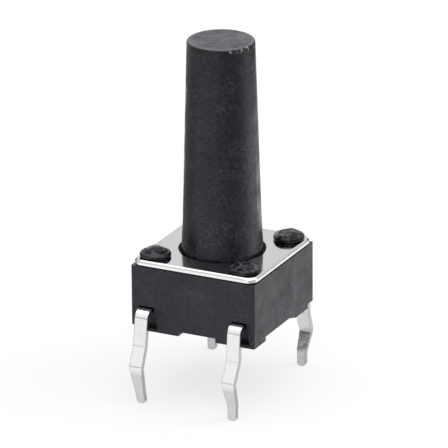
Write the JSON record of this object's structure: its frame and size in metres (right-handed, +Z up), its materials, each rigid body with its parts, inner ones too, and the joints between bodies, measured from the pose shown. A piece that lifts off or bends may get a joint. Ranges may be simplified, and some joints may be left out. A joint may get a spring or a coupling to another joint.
{
  "type": "tactile push button switch",
  "caption": "Square through-hole tactile switch with a tall round plunger, a flat steel cover held by heat-staked posts, and bent leads on two sides.",
  "frame": {"origin": "middle of the square housing in the plane of the board, which is the plane of the housing's feet", "axes": "+Z up along the plunger's press axis, away from the board; the leads leave the housing on its -Y and +Y sides, and the terminal with the centre contact is on -X"},
  "size_m": [0.006, 0.0081, 0.0161],
  "materials": {
    "housing_plastic": "fine matt",
    "cover_steel": "polished stainless steel",
    "plunger_plastic": "fine matt",
    "dome_steel": "satin spring steel",
    "terminal_tin": "bright tin plating on brass"
  },
  "bodies": {
    "base": {"housing": "housing_plastic", "cover_plate": "cover_steel", "contact_dome": "dome_steel", "terminal_left": "terminal_tin", "terminal_right": "terminal_tin"},
    "button": {"plunger": "plunger_plastic"}
  },
  "joints": [
    {"name": "plunger_press", "type": "slide", "parent": "base", "child": "button", "axis": [0, 0, -1], "range_m": [0, 0.00025], "stiffness_N_per_m": 6400, "deforming": ["contact_dome"]}
  ]
}
